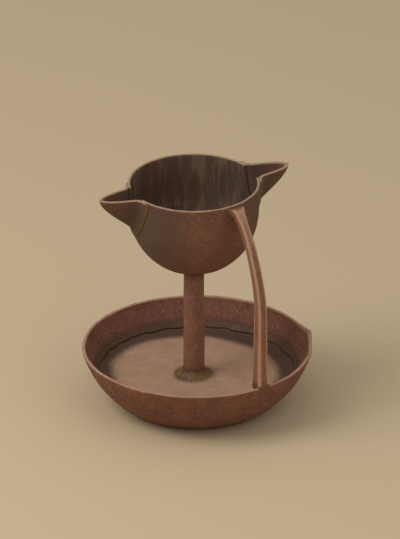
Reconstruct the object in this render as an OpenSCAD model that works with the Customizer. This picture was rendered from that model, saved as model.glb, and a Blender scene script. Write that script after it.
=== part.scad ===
// Lard lamp: an open font with two wick spouts, on a riveted stem that stands in a weighted
// drip pan, with a forged brace handle from the pan's rim to the font.
// Millimetres, +Z up, +X along the spouts. The origin is under the centre of the pan.

/* [Drip pan] */
// Diameter of the pan at its rim
pan_d = 152.4; // [146:0.2:160]
// Height of the pan's rim above the table
pan_h = 38.5; // [36:0.5:42]
// Diameter of the ring that the pan stands on
pan_base_d = 94; // [88:1:100]
// Radius of the arc that the pan's wall is raised to
pan_arc = 60; // [58:1:70]
// Thickness of the pan's sheet
pan_t = 2.2; // [1.8:0.1:2.6]
// Height that the underside is dished by, so that the rivet clears the table
pan_kick = 2.8; // [2.4:0.1:3.4]
// Depth of the inner floor below the rim
floor_drop = 20; // [18:0.5:22]
// Thickness of the inner floor
floor_t = 1.6; // [1.2:0.1:2]

/* [Pouring lip] */
// Bearing of the lip in the pan's rim, counted from the right spout
lip_bearing = -10; // [-30:1:30]
// How far the lip is drawn outwards
lip_out = 2; // [1:0.2:3]
// How far the lip is drawn upwards
lip_up = 2.4; // [1:0.2:4]
// Half of the angle that the lip takes up
lip_half = 12; // [8:1:16]

/* [Stem] */
// Diameter of the stem at its foot
stem_foot_d = 14.2; // [13:0.1:15]
// Diameter of the stem under the font
stem_top_d = 13.5; // [12:0.1:14]
// Diameter of the tenons that are riveted over
tenon_d = 7.6; // [6:0.2:9]
// How far the stem and the font stand off the pan's centre
column_shift = -2.2; // [-3:0.1:0]

/* [Font] */
// Height of the font's rim above the table
font_rim_z = 159.7; // [154:0.1:164]
// Diameter of the font at its rim
font_rim_d = 87.6; // [84:0.2:92]
// Diameter of the round bottom of the font
font_ball_d = 86.4; // [82:0.2:88]
// Height of the upright part of the font's wall
font_wall_h = 20.4; // [16:0.2:24]
// Thickness of the font's sheet
font_t = 1.8; // [1.4:0.1:2.2]

/* [Spouts] */
// Distance from the font's axis to a spout's tip
spout_reach = 68.4; // [64:0.2:74]
// Width of a spout where it leaves the font
spout_w = 21; // [18:0.5:24]
// Depth of a spout where it leaves the font
spout_d = 25; // [22:0.5:28]
// Thickness of a spout's sheet
spout_t = 1.7; // [1.4:0.1:2]
// Width of the flange that laps on the font's wall
flange_w = 4; // [3:0.2:5]
// Form of a spout's section, from a plain V towards a half ellipse
spout_form = 1.45; // [1.3:0.05:1.8]

/* [Handle] */
// Bearing of the handle, counted from the right spout
handle_bearing = -76.5; // [-90:0.5:-70]
// Width of the bar at its foot
handle_w_foot = 7.8; // [7:0.1:9]
// Depth of the bar at its foot
handle_d_foot = 10.2; // [9:0.1:11]
// Width of the bar under its spread end
handle_w_top = 5.6; // [5:0.1:6.5]
// Depth of the bar at its top
handle_d_top = 4.4; // [4:0.1:5]
// Width of the spread end
fishtail_w = 10.4; // [9:0.2:12]
// Height at which the bar starts to bend inwards
handle_bend_z = 85; // [80:1:92]
// How far the foot's heel reaches down inside the pan's rim
heel_drop = 2.2; // [1.5:0.1:3.5]

/* [Hidden] */
$fn = 96;
// Steps round the large arcs of the pan and the font
arc_fn = 240;
// Steps round the small spheres that the lip is hulled from
lip_fn = 14;

iron_dark = "#4d3a2e";
iron_red = "#6b4430";
iron_floor = "#9a8066";
spelter = "#8d7438";
sand_tan = "#b59d74";

// How far a cutting shape reaches past what it cuts, and how far joined shapes overlap
past = 10;
lap = 0.5;
// Clearance between the stem and the floor's hole, and round the fill
ease = 0.1;
fill_ease = 0.3;

// Width of the small chamfers on the pan's rim
rim_ease = 0.6;
pan_r = pan_d / 2;
pan_base_r = pan_base_d / 2;
// The underside is flat as far out as dish_r and comes down to the table at ring_r
dish_r = 17;
ring_r = 34;
// How far below the rim the lip starts to draw out of the wall
lip_depth = 9;

// The inner floor's edge turns up in a bend of this radius, through this angle
floor_bend_r = 6;
floor_turn = 55;
floor_z = pan_h - floor_drop;
floor_edge_z = floor_z + floor_bend_r * (1 - cos(floor_turn));
// The braze on the floor's edge: how far it covers the bend, and its rise up the wall
floor_braze_turn = 22;
floor_braze_rise = 2;

stem_foot_r = stem_foot_d / 2;
stem_top_r = stem_top_d / 2;
stem_seat_z = pan_kick + pan_t;
tenon_r = tenon_d / 2;
// The stem flares out a little over its last stretch under the font
stem_flare = 0.6;
neck_h = 6;
// Rivet heads, under the pan and in the font: radius and height
low_head = [6.4, 1.7];
high_head = [6, 2.2];
// Braze at the stem: its reach along the floor and the font, and up and down the stem
foot_braze = [5.4, 4.6];
top_braze = [3.6, 3];

font_rim_r = font_rim_d / 2;
font_r = font_ball_d / 2;
font_z = font_rim_z - font_wall_h;
font_low_z = font_z - font_r;

// Stations along a spout and steps round its section
spout_rings = 12;
spout_steps = 20;
// How blunt a spout's nose is, in width and in depth, from 0 to 1, and where its end is cut
tip_blunt_w = 0.5;
tip_blunt_d = 0.25;
tip_u = 0.02;
// How far a spout flares at the font, and over which share of its length
throat_flare = 1.6;
throat_share = 0.18;
// The inner face is inset by more than the sheet's thickness where the sheet lies aslant
keel_slant = 1.2;
tip_slant = 1.4;
// Bead of braze beside a flange: its width, and the place and height of its shoulder
bead_w = 1.6;
bead_shoulder = 0.6;
bead_h = 0.65;

handle_rings = 14;
handle_chamfer = 1;
// How far the bar leans out between its foot and the bend
handle_swell = 0.8;
// The foot is forged deeper than the bar by foot_upset, fading out over upset_len
foot_upset = 1.6;
upset_len = 12;
fishtail_len = 13;
// The bar ends below the font's rim by end_drop, off the wall by scarf_gap, which braze fills
end_drop = 0.6;
scarf_gap = 0.4;
// Braze under the spread end: how far down it reaches, in the middle and at the sides
wedge_mid = 9.5;
wedge_side = 3.4;

// Geometry shared by several pieces

function mix(a, b, t) = a + (b - a) * t;

function flatten(rows) = [for (row = rows) for (p = row) p];

// Points of an arc round c, from angle a0 to a1
function arc_points(c, r, a0, a1, n) =
    [for (i = [0 : n]) c + r * [cos(a0 + (a1 - a0) * i / n), sin(a0 + (a1 - a0) * i / n)]];

// Points of a hollow curve from a to b that sags towards the corner that it fills
function fillet(a, b, corner, n = 4) =
    let (pull = mix((a + b) / 2, corner, 0.6))
    [for (i = [0 : n]) let (t = i / n) mix(mix(a, pull, t), mix(pull, b, t), t)];

// Centre of the arc of radius rho through a and b that bulges away from the axis
function arc_centre(a, b, rho) =
    let (chord = b - a, len = norm(chord))
    (a + b) / 2 + [chord.y, -chord.x] / len * sqrt(rho * rho - len * len / 4);

// Radius of the sphere whose cap has base radius a and height h
function cap_radius(a, h) = (a * a + h * h) / (2 * h);

pan_c = arc_centre([pan_r, pan_h], [pan_base_r, 0], pan_arc);

// Radius of the pan's wall at height z, inset from its outer face
function pan_wall(z, inset) = pan_c.x + sqrt(pow(pan_arc - inset, 2) - pow(z - pan_c.y, 2));

// Distance from the font's axis to its wall, at height z below the rim and off the outer face
function font_wall(z, off) =
    z > -font_wall_h
        ? font_rim_r + off + (font_rim_r - font_r) * z / font_wall_h
        : sqrt(pow(font_r + off, 2) - pow(z + font_wall_h, 2));

// Point on the font's wall at side y and height z below the rim
function on_font(y, z, off) = [sqrt(pow(font_wall(z, off), 2) - y * y), y, z];

// Faces that skin a grid of rows and cols points starting at index first
function skin(first, rows, cols, flip) =
    [for (i = [0 : rows - 2], j = [0 : cols - 2])
        let (a = first + i * cols + j, b = a + 1, c = a + cols + 1, d = a + cols)
        flip ? [a, d, c, b] : [a, b, c, d]];

// Faces of a closed tube through rings of count points each
function tube_faces(rings, count) =
    concat([[for (j = [0 : count - 1]) j]],
           [for (i = [0 : rings - 2], j = [0 : count - 1])
               let (k = (j + 1) % count, a = i * count, b = a + count)
               each [[a + j, b + j, b + k], [a + j, b + k, a + k]]],
           [[for (j = [count - 1 : -1 : 0]) (rings - 1) * count + j]]);

// What lies on the side of the axis that a revolved section uses
module half_plane() {
    reach = pan_d + font_rim_z;
    intersection() {
        children();
        translate([0, -reach]) square([reach, 2 * reach]);
    }
}

module on_column() {
    translate([column_shift, 0, 0]) children();
}

// Half section of a domed rivet head of [radius, height], standing on the line z = 0
module rivet_head(size) {
    r = cap_radius(size[0], size[1]);
    intersection() {
        translate([0, size[1] - r]) circle(r = r, $fn = arc_fn);
        square([r, size[1] + lap]);
    }
}

// Drip pan

// Half section of what lies inside the arc of the wall, inset from its outer face
module inside_pan(inset) {
    half_plane() translate(pan_c) circle(r = pan_arc - inset, $fn = arc_fn);
}

// Line of the dished bottom, lifted by rise
function bottom_line(rise) =
    [[0, pan_kick + rise], [dish_r, pan_kick + rise], [ring_r, rise], [pan_r + past, rise]];

module pan_section() {
    inner_rim = pan_wall(pan_h, pan_t);
    difference() {
        intersection() {
            inside_pan(0);
            polygon(concat(bottom_line(0), [[pan_r + past, pan_h - rim_ease - past],
                                            [pan_r - rim_ease, pan_h], [0, pan_h]]));
        }
        intersection() {
            inside_pan(pan_t);
            polygon(concat(bottom_line(pan_t), [[pan_r + past, pan_h + past], [0, pan_h + past]]));
        }
        polygon([[inner_rim + rim_ease, pan_h], [inner_rim + rim_ease, pan_h + past],
                 [inner_rim - rim_ease, pan_h + past], [inner_rim - rim_ease, pan_h - 2 * rim_ease]]);
    }
}

// The room inside the wall, from under the lip to above the rim
module pan_room() {
    rotate_extrude(convexity = 4)
        intersection() {
            inside_pan(pan_t);
            translate([0, pan_h - lip_depth - past]) square([pan_r, lip_depth + 2 * past]);
        }
}

// A small lip drawn out and up from the rim
module pouring_lip() {
    bead_r = pan_t / 2;
    top_z = pan_h - bead_r;
    low_z = pan_h - lip_depth;
    rim_u = pan_wall(top_z, bead_r);
    difference() {
        rotate([0, 0, lip_bearing])
            hull() {
                for (side = [-1, 1])
                    rotate([0, 0, side * lip_half])
                        translate([rim_u, 0, top_z]) sphere(r = bead_r, $fn = lip_fn);
                translate([rim_u + lip_out, 0, top_z + lip_up]) sphere(r = bead_r, $fn = lip_fn);
                translate([pan_wall(low_z, bead_r), 0, low_z]) sphere(r = bead_r, $fn = lip_fn);
            }
        pan_room();
    }
}

module drip_pan() {
    color(iron_red) {
        difference() {
            rotate_extrude(convexity = 4) pan_section();
            on_column() cylinder(r = tenon_r, h = floor_z);
        }
        pouring_lip();
    }
}

// The weight in the base, poured before the floor was closed
module sand_fill() {
    top_z = floor_z - floor_t - fill_ease;
    color(sand_tan)
        difference() {
            rotate_extrude(convexity = 4)
                intersection() {
                    inside_pan(pan_t + fill_ease);
                    polygon(concat(bottom_line(pan_t), [[pan_r + past, top_z], [0, top_z]]));
                }
            on_column() cylinder(r = stem_foot_r + fill_ease, h = pan_h);
        }
}

// The inner floor: a shallow dish whose edge turns up against the wall
floor_edge_r = pan_wall(floor_edge_z, pan_t);
floor_bend_c = [floor_edge_r - floor_bend_r * sin(floor_turn), floor_z + floor_bend_r];

module pan_floor() {
    top = arc_points(floor_bend_c, floor_bend_r, floor_turn - 90, -90, 8);
    low = arc_points(floor_bend_c, floor_bend_r + floor_t, -90, floor_turn - 90, 8);
    color(iron_floor)
        difference() {
            rotate_extrude(convexity = 4)
                intersection() {
                    inside_pan(pan_t);
                    polygon(concat([[0, floor_z], [0, floor_z - floor_t]], low, top));
                }
            on_column() cylinder(r = stem_foot_r + ease, h = pan_h);
        }
}

// Ring of braze between the floor's edge and the wall
module pan_floor_braze() {
    edge_angle = floor_turn - 90;
    on_floor = arc_points(floor_bend_c, floor_bend_r, edge_angle, edge_angle - floor_braze_turn, 3);
    wall_z = floor_edge_z + floor_braze_rise;
    hollow = fillet(on_floor[3], [pan_wall(wall_z, pan_t), wall_z], on_floor[0]);
    color(spelter)
        rotate_extrude(convexity = 4)
            polygon(concat(on_floor, [for (i = [1 : len(hollow) - 1]) hollow[i]]));
}

// Stem

module stem_section() {
    shoulder_r = stem_top_r + stem_flare;
    half_plane() {
        // Shank, seated on the pan and cut to the font's round bottom
        difference() {
            polygon([[0, stem_seat_z], [stem_foot_r, stem_seat_z], [stem_foot_r, floor_z],
                     [stem_top_r, font_low_z - neck_h], [shoulder_r, font_low_z],
                     [shoulder_r, font_low_z + past], [0, font_low_z + past]]);
            translate([0, font_z]) circle(r = font_r, $fn = arc_fn);
        }
        // Tenon and rivet head under the pan
        translate([0, pan_kick]) square([tenon_r, pan_t + lap]);
        translate([0, pan_kick]) mirror([0, 1]) rivet_head(low_head);
        // Tenon and rivet head in the font
        translate([0, font_low_z - lap]) square([tenon_r, font_t + 2 * lap]);
        intersection() {
            translate([0, font_low_z + font_t]) rivet_head(high_head);
            translate([0, font_z]) circle(r = font_r - font_t, $fn = arc_fn);
        }
    }
}

module stem() {
    color(iron_red) on_column() rotate_extrude(convexity = 6) stem_section();
}

// Braze that flowed out on the floor round the stem
module stem_foot_braze() {
    corner = [stem_foot_r, floor_z];
    color(spelter)
        on_column()
            rotate_extrude(convexity = 4)
                polygon(concat([corner], fillet(corner + [foot_braze[0], 0],
                                                corner + [0, foot_braze[1]], corner)));
}

// Fillet of braze under the font
module stem_top_braze() {
    shoulder_r = stem_top_r + stem_flare;
    out_r = shoulder_r + top_braze[0];
    out_z = font_z - sqrt(font_r * font_r - out_r * out_r);
    corner = [shoulder_r, font_z - sqrt(font_r * font_r - shoulder_r * shoulder_r)];
    color(spelter)
        on_column()
            rotate_extrude(convexity = 4)
                difference() {
                    polygon(concat([[shoulder_r, out_z + lap], [out_r, out_z + lap]],
                                   fillet([out_r, out_z], corner - [0, top_braze[1]], corner)));
                    translate([0, font_z]) circle(r = font_r, $fn = arc_fn);
                }
}

// Font

// A spout's section at angle a, -90 at the near rim, 0 at the keel, 90 at the far rim
function spout_section(a) =
    [sign(a) * pow(abs(sin(a)), 2 / spout_form), -pow(cos(a), 2 / spout_form)];

spout_angles = [for (j = [0 : spout_steps]) -90 + 180 * j / spout_steps];

// Growth of a spout from its tip, u = 0, to the font, u = 1, with a nose of bluntness k
function swell(u, k) = (1 - k) * u + k * sqrt(1 - pow(1 - u, 4));

function throat(u) = throat_flare * pow(max(0, 1 - (1 - u) / throat_share), 2);

// Half width and depth of a spout at u, inset by e from its outer face
function spout_half_w(u, e) = (spout_w / 2 - e) * swell(u, tip_blunt_w) + throat(u);
function spout_depth(u, e) = (spout_d - keel_slant * e) * swell(u, tip_blunt_d) + throat(u);

// Outline of a spout on the font's wall, widened by grow
function mouth_point(a, e, grow) =
    let (s = spout_section(a))
    [(spout_half_w(1, e) + grow) * s.x, (spout_depth(1, e) + grow) * s.y];

module spout_notch() {
    outline = [for (a = spout_angles) mouth_point(a, spout_t, 0)];
    side = outline[spout_steps].x;
    translate([0, 0, font_rim_z])
        rotate([90, 0, 90])
            translate([0, 0, font_r / 2])
                linear_extrude(height = font_r, convexity = 4)
                    polygon(concat(outline, [[side, past], [-side, past]]));
}

module font_section() {
    inner_r = font_r - font_t;
    inner_rim_r = font_rim_r - font_t;
    difference() {
        half_plane() {
            intersection() {
                translate([0, font_z]) circle(r = font_r, $fn = arc_fn);
                translate([0, font_low_z]) square(font_r);
            }
            polygon([[0, font_z], [font_r, font_z], [font_rim_r, font_rim_z], [0, font_rim_z]]);
        }
        half_plane() {
            translate([0, font_z]) circle(r = inner_r, $fn = arc_fn);
            polygon([[0, font_z], [inner_r, font_z], [inner_rim_r, font_rim_z],
                     [inner_rim_r, font_rim_z + past], [0, font_rim_z + past]]);
        }
    }
}

module font_bowl() {
    color(iron_dark)
        on_column()
            difference() {
                rotate_extrude(convexity = 6) font_section();
                for (turn = [0, 180]) rotate([0, 0, turn]) spout_notch();
                cylinder(r = tenon_r, h = font_z);
            }
}

// Spouts

// Rows of points of one face of a spout, from the flange's edge through the throat to the tip
function spout_face(off, e) =
    let (reach = spout_reach - tip_slant * e)
    concat([[for (a = spout_angles) let (m = mouth_point(a, 0, flange_w)) on_font(m.x, m.y, off)]],
           [for (i = [0 : spout_rings])
               let (u = 1 - (1 - tip_u) * i / spout_rings)
               [for (a = spout_angles)
                   let (m = mouth_point(a, e, 0),
                        root = on_font(m.x, m.y, off),
                        s = spout_section(a))
                   [root.x + (reach - root.x) * (1 - u),
                    spout_half_w(u, e) * s.x, spout_depth(u, e) * s.y]]]);

module spout() {
    rows = spout_rings + 2;
    cols = spout_steps + 1;
    n = rows * cols;
    outer_last = n - cols;
    points = concat(flatten(spout_face(spout_t, 0)), flatten(spout_face(0, spout_t)));
    flange_edge = [for (j = [0 : cols - 2]) [j, n + j, n + j + 1, j + 1]];
    near_rim = [for (i = [0 : rows - 2])
        let (a = i * cols, b = a + cols) [a, b, n + b, n + a]];
    far_rim = [for (i = [0 : rows - 2])
        let (a = i * cols + cols - 1, b = a + cols) [a, n + a, n + b, b]];
    tip = [[for (j = [0 : cols - 1]) outer_last + j],
           [for (j = [cols - 1 : -1 : 0]) n + outer_last + j],
           [outer_last, outer_last + cols - 1, n + outer_last + cols - 1, n + outer_last]];
    faces = concat(skin(0, rows, cols, false), skin(n, rows, cols, true),
                   flange_edge, near_rim, far_rim, tip);
    translate([0, 0, font_rim_z]) polyhedron(points, faces, convexity = 6);
}

// Bead of braze along the edge of a spout's flange
module spout_braze() {
    rings = [for (a = spout_angles)
        let (foot = mouth_point(a, 0, flange_w), out = mouth_point(a, 0, flange_w + bead_w),
             shoulder = mouth_point(a, 0, flange_w + bead_w * bead_shoulder))
        [on_font(foot.x, foot.y, 0), on_font(out.x, out.y, 0),
         on_font(shoulder.x, shoulder.y, spout_t * bead_h), on_font(foot.x, foot.y, spout_t)]];
    translate([0, 0, font_rim_z])
        polyhedron(flatten(rings), tube_faces(len(rings), 4), convexity = 6);
}

module right_spout() { color(iron_dark) on_column() spout(); }
module left_spout() { color(iron_dark) on_column() rotate([0, 0, 180]) spout(); }
module right_spout_braze() { color(spelter) on_column() spout_braze(); }
module left_spout_braze() { color(spelter) on_column() rotate([0, 0, 180]) spout_braze(); }

// Handle: u runs out from the stem's axis along the bearing, v across it, z up

handle_dir = [cos(handle_bearing), sin(handle_bearing)];
handle_side = [-sin(handle_bearing), cos(handle_bearing)];

// Distance out from the stem's axis, at side v, to a circle of radius r round the pan's centre
function pan_u(r, v) =
    sqrt(r * r - pow(column_shift * handle_side.x + v, 2)) - column_shift * handle_dir.x;

foot_u = pan_u(pan_r, 0) - handle_d_foot / 2;
belly_u = foot_u + handle_swell;
handle_end_z = font_rim_z - end_drop;
// Radius of the upper arc, from its height and from how far it has to come in
arc_in = belly_u - (font_rim_r + scarf_gap + handle_d_top / 2);
arc_up = handle_end_z - handle_bend_z;
handle_arc = (arc_in * arc_in + arc_up * arc_up) / (2 * arc_in);

// How far up the bar height z is: 0 at the pan's rim, 1 at the top
function up(z) = (z - pan_h) / (handle_end_z - pan_h);

// Centre of the bar and its lean, on the straight foot and on the arc
function bar_at(z) =
    z < handle_bend_z
        ? [foot_u + handle_swell * max(0, z - pan_h) / (handle_bend_z - pan_h), z, 0]
        : let (lean = asin((z - handle_bend_z) / handle_arc))
          [belly_u - handle_arc * (1 - cos(lean)), z, lean];

// Width and depth of the bar at height z, with its foot upset and its top end spread
function bar_w(z) =
    mix(handle_w_foot, handle_w_top, up(z))
    + (fishtail_w - handle_w_top) * pow(max(0, 1 - (handle_end_z - z) / fishtail_len), 2);
function bar_d(z) =
    let (low = max(0, 1 - max(0, z - pan_h) / upset_len))
    mix(handle_d_foot - foot_upset, handle_d_top, up(z)) + foot_upset * low * low;

// Section of a bar with its arrises taken off, as [out, across] pairs
function bar_section(d, w) =
    let (a = d / 2, b = w / 2, c = min(handle_chamfer, d / 4))
    [[a, b - c], [a - c, b], [c - a, b], [-a, b - c], [-a, c - b], [c - a, -b], [a - c, -b], [a, c - b]];

// Ring of the bar at height z, cut off square at the top and scarfed to the font's wall
function bar_ring(z) =
    let (at = bar_at(z), lean = at[2])
    [for (p = bar_section(bar_d(z), bar_w(z)))
        let (u = at.x + p.x * cos(lean),
             top = min(z + p.x * sin(lean), handle_end_z),
             beside_font = top > font_z - font_r / 2,
             wall = beside_font ? on_font(p.y, top - font_rim_z, scarf_gap).x : 0)
        [max(u, wall), p.y, top]];

module in_handle_plane() {
    on_column() rotate([0, 0, handle_bearing]) children();
}

// Room for the pan's rim in the handle's foot
module rim_notch() {
    low_z = pan_h - heel_drop - 1;
    rotate_extrude(convexity = 4)
        polygon([[pan_wall(pan_h, pan_t), pan_h], [pan_wall(low_z, pan_t), low_z],
                 [pan_r + past, low_z], [pan_r + past, pan_h]]);
}

module handle() {
    straight = [for (i = [0 : 4]) mix(pan_h - heel_drop, handle_bend_z, pow(i / 4, 1.6))];
    bent = [for (i = [1 : handle_rings]) mix(handle_bend_z, handle_end_z, i / handle_rings)];
    rings = [for (z = concat(straight, bent)) bar_ring(z)];
    color(iron_red)
        difference() {
            in_handle_plane()
                polyhedron(flatten(rings), tube_faces(len(rings), 8), convexity = 6);
            rim_notch();
        }
}

// Beads of braze outside and inside the pan's rim, at the handle's foot
module handle_foot_braze() {
    half_angle = asin(handle_w_foot / 2 / pan_r) + 0.6;
    foot_bearing = atan2(foot_u * handle_dir.y, column_shift + foot_u * handle_dir.x);
    heel_z = pan_h - heel_drop;
    heel_corner = [pan_wall(heel_z, pan_t), heel_z];
    chamfer_z = pan_h - rim_ease;
    out_low_z = pan_h - 2;
    out_high = [pan_r, pan_h + 1.8];
    bulge = [pan_r + 0.9, pan_h];
    in_low_z = heel_z - 3;
    color(spelter)
        rotate([0, 0, foot_bearing - half_angle])
            rotate_extrude(angle = 2 * half_angle, convexity = 4) {
                polygon([[pan_r, pan_h], out_high, bulge + [0, 0.9], bulge - [0, 0.6],
                         [pan_wall(out_low_z, 0), out_low_z], [pan_wall(chamfer_z, 0), chamfer_z]]);
                polygon(concat([heel_corner], fillet(heel_corner - [2.4, 0],
                                                     [pan_wall(in_low_z, pan_t), in_low_z],
                                                     heel_corner)));
            }
}

// Wedge of braze between the font's wall and the leaning top of the bar
module handle_top_braze() {
    half_w = fishtail_w / 2;
    steps = 8;
    top_z = handle_end_z - 1;
    rings = [for (i = [0 : steps])
        let (v = mix(-half_w, half_w, i / steps),
             middle = 1 - pow(v / half_w, 2),
             low_z = handle_end_z - mix(wedge_side, wedge_mid, middle),
             mid_z = low_z + 1.5,
             on_wall = function (z) on_font(v, z - font_rim_z, 0).x,
             bar = bar_at(mid_z),
             bar_in = bar.x - bar_d(mid_z) / 2 * cos(bar[2]))
        [[on_wall(low_z), v, low_z],
         [mix(on_wall(mid_z) + scarf_gap, bar_in, middle * 0.9), v, mid_z],
         [on_wall(top_z) + scarf_gap, v, top_z],
         [on_wall(top_z), v, top_z]]];
    color(spelter)
        in_handle_plane()
            polyhedron(flatten(rings), tube_faces(len(rings), 4), convexity = 6);
}

drip_pan();
sand_fill();
pan_floor();
pan_floor_braze();
stem();
stem_foot_braze();
font_bowl();
stem_top_braze();
left_spout();
right_spout();
left_spout_braze();
right_spout_braze();
handle();
handle_foot_braze();
handle_top_braze();
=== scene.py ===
"""Lard lamp: a hand-raised iron font with two wick spouts, riveted to a stem that stands in a
weighted drip pan, with a forged brace for a handle. Everything is in metres, in the CAD frame."""

import logging
import math
from collections.abc import Callable, Sequence
from dataclasses import dataclass, field
from enum import Enum

import bmesh
import bpy
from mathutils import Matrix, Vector, noise


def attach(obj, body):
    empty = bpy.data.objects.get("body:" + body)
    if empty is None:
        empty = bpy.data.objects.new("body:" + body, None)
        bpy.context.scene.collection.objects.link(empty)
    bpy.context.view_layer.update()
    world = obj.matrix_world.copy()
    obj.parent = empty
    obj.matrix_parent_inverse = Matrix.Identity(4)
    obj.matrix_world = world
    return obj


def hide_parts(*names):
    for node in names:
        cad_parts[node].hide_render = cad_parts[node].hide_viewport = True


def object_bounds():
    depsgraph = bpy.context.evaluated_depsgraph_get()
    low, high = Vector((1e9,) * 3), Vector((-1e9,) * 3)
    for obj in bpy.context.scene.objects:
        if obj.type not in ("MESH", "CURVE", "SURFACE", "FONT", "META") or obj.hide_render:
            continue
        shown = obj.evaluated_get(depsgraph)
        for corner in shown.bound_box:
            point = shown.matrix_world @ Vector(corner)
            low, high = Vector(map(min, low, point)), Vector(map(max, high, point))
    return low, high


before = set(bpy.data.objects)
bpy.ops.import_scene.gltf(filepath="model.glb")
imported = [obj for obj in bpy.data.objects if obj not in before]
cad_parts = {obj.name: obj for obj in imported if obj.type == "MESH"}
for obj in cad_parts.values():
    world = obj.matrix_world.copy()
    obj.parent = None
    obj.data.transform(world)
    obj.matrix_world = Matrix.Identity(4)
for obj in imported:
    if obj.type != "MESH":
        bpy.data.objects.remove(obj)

LOG = logging.getLogger("lard_lamp")
CAD_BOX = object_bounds()
MM = 0.001
TAU = 2 * math.pi

Rule = Callable[[Vector], float]
Outline = list[Vector]


class Slot(Enum):
    """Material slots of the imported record."""

    PAN = "red_rusted_iron"
    FLOOR = "worn_floor_iron"
    FONT = "brown_iron_sheet"
    BAR = "forged_bar_iron"
    SPELTER = "spelter"
    SAND = "dry_sand"


class Side(Enum):
    """The two spouts, by the direction they point in along X."""

    LEFT = -1
    RIGHT = 1


class Pattern(Enum):
    """What can decide where a coat of colour shows."""

    STAIN = "stain"
    MOTTLE = "mottle"
    GRAIN = "grain"
    PITS = "pits"
    RUNS = "runs"
    # Pale where rubbed; on the rims and the handle's arrises it is also painted highlight
    WEAR_AND_HIGHLIGHT = "wear_and_highlight"
    # Darker with grease and at joints; in the pan's inner corner, at the floor's edge and at the stem's top
    # it is also painted shade
    SOIL_AND_SHADE = "soil_and_shade"
    # Darker with soot; on the font's sides it is also painted shade
    SOOT_AND_SHADE = "soot_and_shade"
    INSIDE = "inside"


PAINTED = (Pattern.WEAR_AND_HIGHLIGHT, Pattern.SOIL_AND_SHADE, Pattern.SOOT_AND_SHADE, Pattern.INSIDE)


# Small geometry helpers


def mix(a: float, b: float, t: float) -> float:
    """Returns the value that lies the share t of the way from a to b."""
    return a + (b - a) * t


def smooth(t: float) -> float:
    """Returns an eased step from 0 to 1 as t goes from 0 to 1."""
    t = min(1.0, max(0.0, t))
    return t * t * (3 - 2 * t)


def ripple(point: Vector, size: float, seed: float = 0.0) -> float:
    """Smooth noise from about -1 to 1.

    Args:
        point: where it is read, in metres.
        size: how far apart its humps are, in metres.
        seed: which of many such noises.

    Returns:
        The noise at that point.
    """
    return noise.noise(point / size + Vector((seed, 2.3 * seed, -1.7 * seed)))


def polar(radius: float, angle: float, height: float = 0.0) -> Vector:
    """Returns the point at a radius, a bearing in radians and a height."""
    return Vector((radius * math.cos(angle), radius * math.sin(angle), height))


def resample(line: Sequence[Vector], count: int) -> Outline:
    """Spreads points evenly along a polyline.

    Args:
        line: the polyline's points.
        count: how many points are wanted.

    Returns:
        That many points, the ends among them.
    """
    steps = [(b - a).length for a, b in zip(line, line[1:])]
    total, spread, done, leg = sum(steps), [], 0.0, 0
    for i in range(count):
        goal = total * i / (count - 1)
        while leg < len(steps) - 1 and done + steps[leg] < goal:
            done += steps[leg]
            leg += 1
        share = (goal - done) / steps[leg] if steps[leg] else 0.0
        spread.append(line[leg].lerp(line[leg + 1], min(1.0, max(0.0, share))))
    return spread


def soften(line: Sequence[Vector], passes: int) -> Outline:
    """Rounds the corners of a polyline, keeping its ends.

    Args:
        line: the polyline's points, evenly spread.
        passes: how often each point moves halfway to its neighbours' middle.

    Returns:
        The rounded polyline.
    """
    soft = list(line)
    for _ in range(passes):
        soft = [soft[0]] + [(a + 2 * b + c) / 4 for a, b, c in zip(soft, soft[1:], soft[2:])] + [soft[-1]]
    return soft


def lip_over(a: Vector, b: Vector, out: Vector, bulge: float, count: int = 3) -> Outline:
    """Points that round a cut edge of sheet from one face to the other.

    Args:
        a: the last point of the first face.
        b: the first point of the second face.
        out: the direction that the edge faces.
        bulge: how far the edge stands out, as a share of half the thickness.
        count: how many points are wanted.

    Returns:
        The points between a and b.
    """
    middle, half = (a + b) / 2, (a - b) / 2
    reach = out * half.length * bulge
    turns = [math.pi * (i + 1) / (count + 1) for i in range(count)]
    return [middle + half * math.cos(t) + reach * math.sin(t) for t in turns]


def hollow(a: Vector, b: Vector, corner: Vector, count: int = 6) -> Outline:
    """Returns a curve from a to b that sags towards the corner that it fills."""
    pull = (a + b).lerp(corner * 2, 0.6) / 2
    shares = [i / count for i in range(count + 1)]
    return [a.lerp(pull, t).lerp(pull.lerp(b, t), t) for t in shares]


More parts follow.
